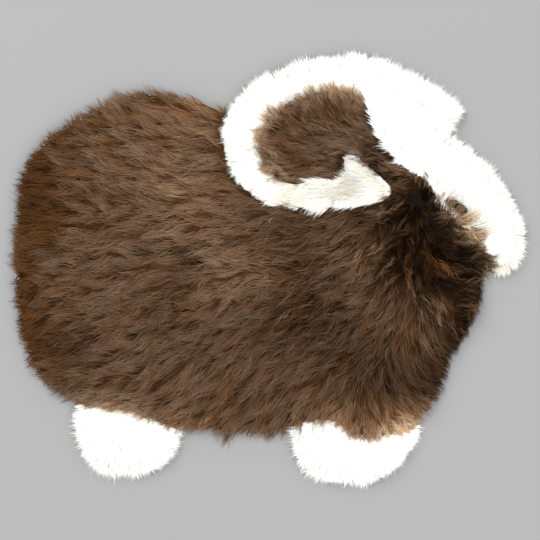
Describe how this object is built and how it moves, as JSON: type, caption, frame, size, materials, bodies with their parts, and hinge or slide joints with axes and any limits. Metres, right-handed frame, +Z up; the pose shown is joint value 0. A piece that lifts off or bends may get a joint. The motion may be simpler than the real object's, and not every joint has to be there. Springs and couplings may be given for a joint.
{
  "type": "sheepskin rug",
  "caption": "Flat rug of long-wool sheepskin pieces sewn edge to edge in the shape of a curly-horned sheep, brown body with white face, horns and feet.",
  "frame": {"origin": "on the surface the rug lies on, under the middle of the whole rug", "axes": "+X along the rug, towards the head; +Y towards the animal's back; +Z up out of the wool"},
  "size_m": [1.0284, 0.8628, 0.0388],
  "materials": {
    "brown_wool": "long combed wool, warm brown, darker and curlier at the neck",
    "white_wool": "dense brushed wool, white with cream tips",
    "eye_yarn": "wound olive-brown yarn",
    "skin_suede": "sueded skin side"
  },
  "bodies": {
    "root": {"body": "brown_wool", "horn": "white_wool", "face": "white_wool", "far_horn": "white_wool", "front_foot": "white_wool", "hind_foot": "white_wool", "eye": "eye_yarn"}
  },
  "joints": []
}
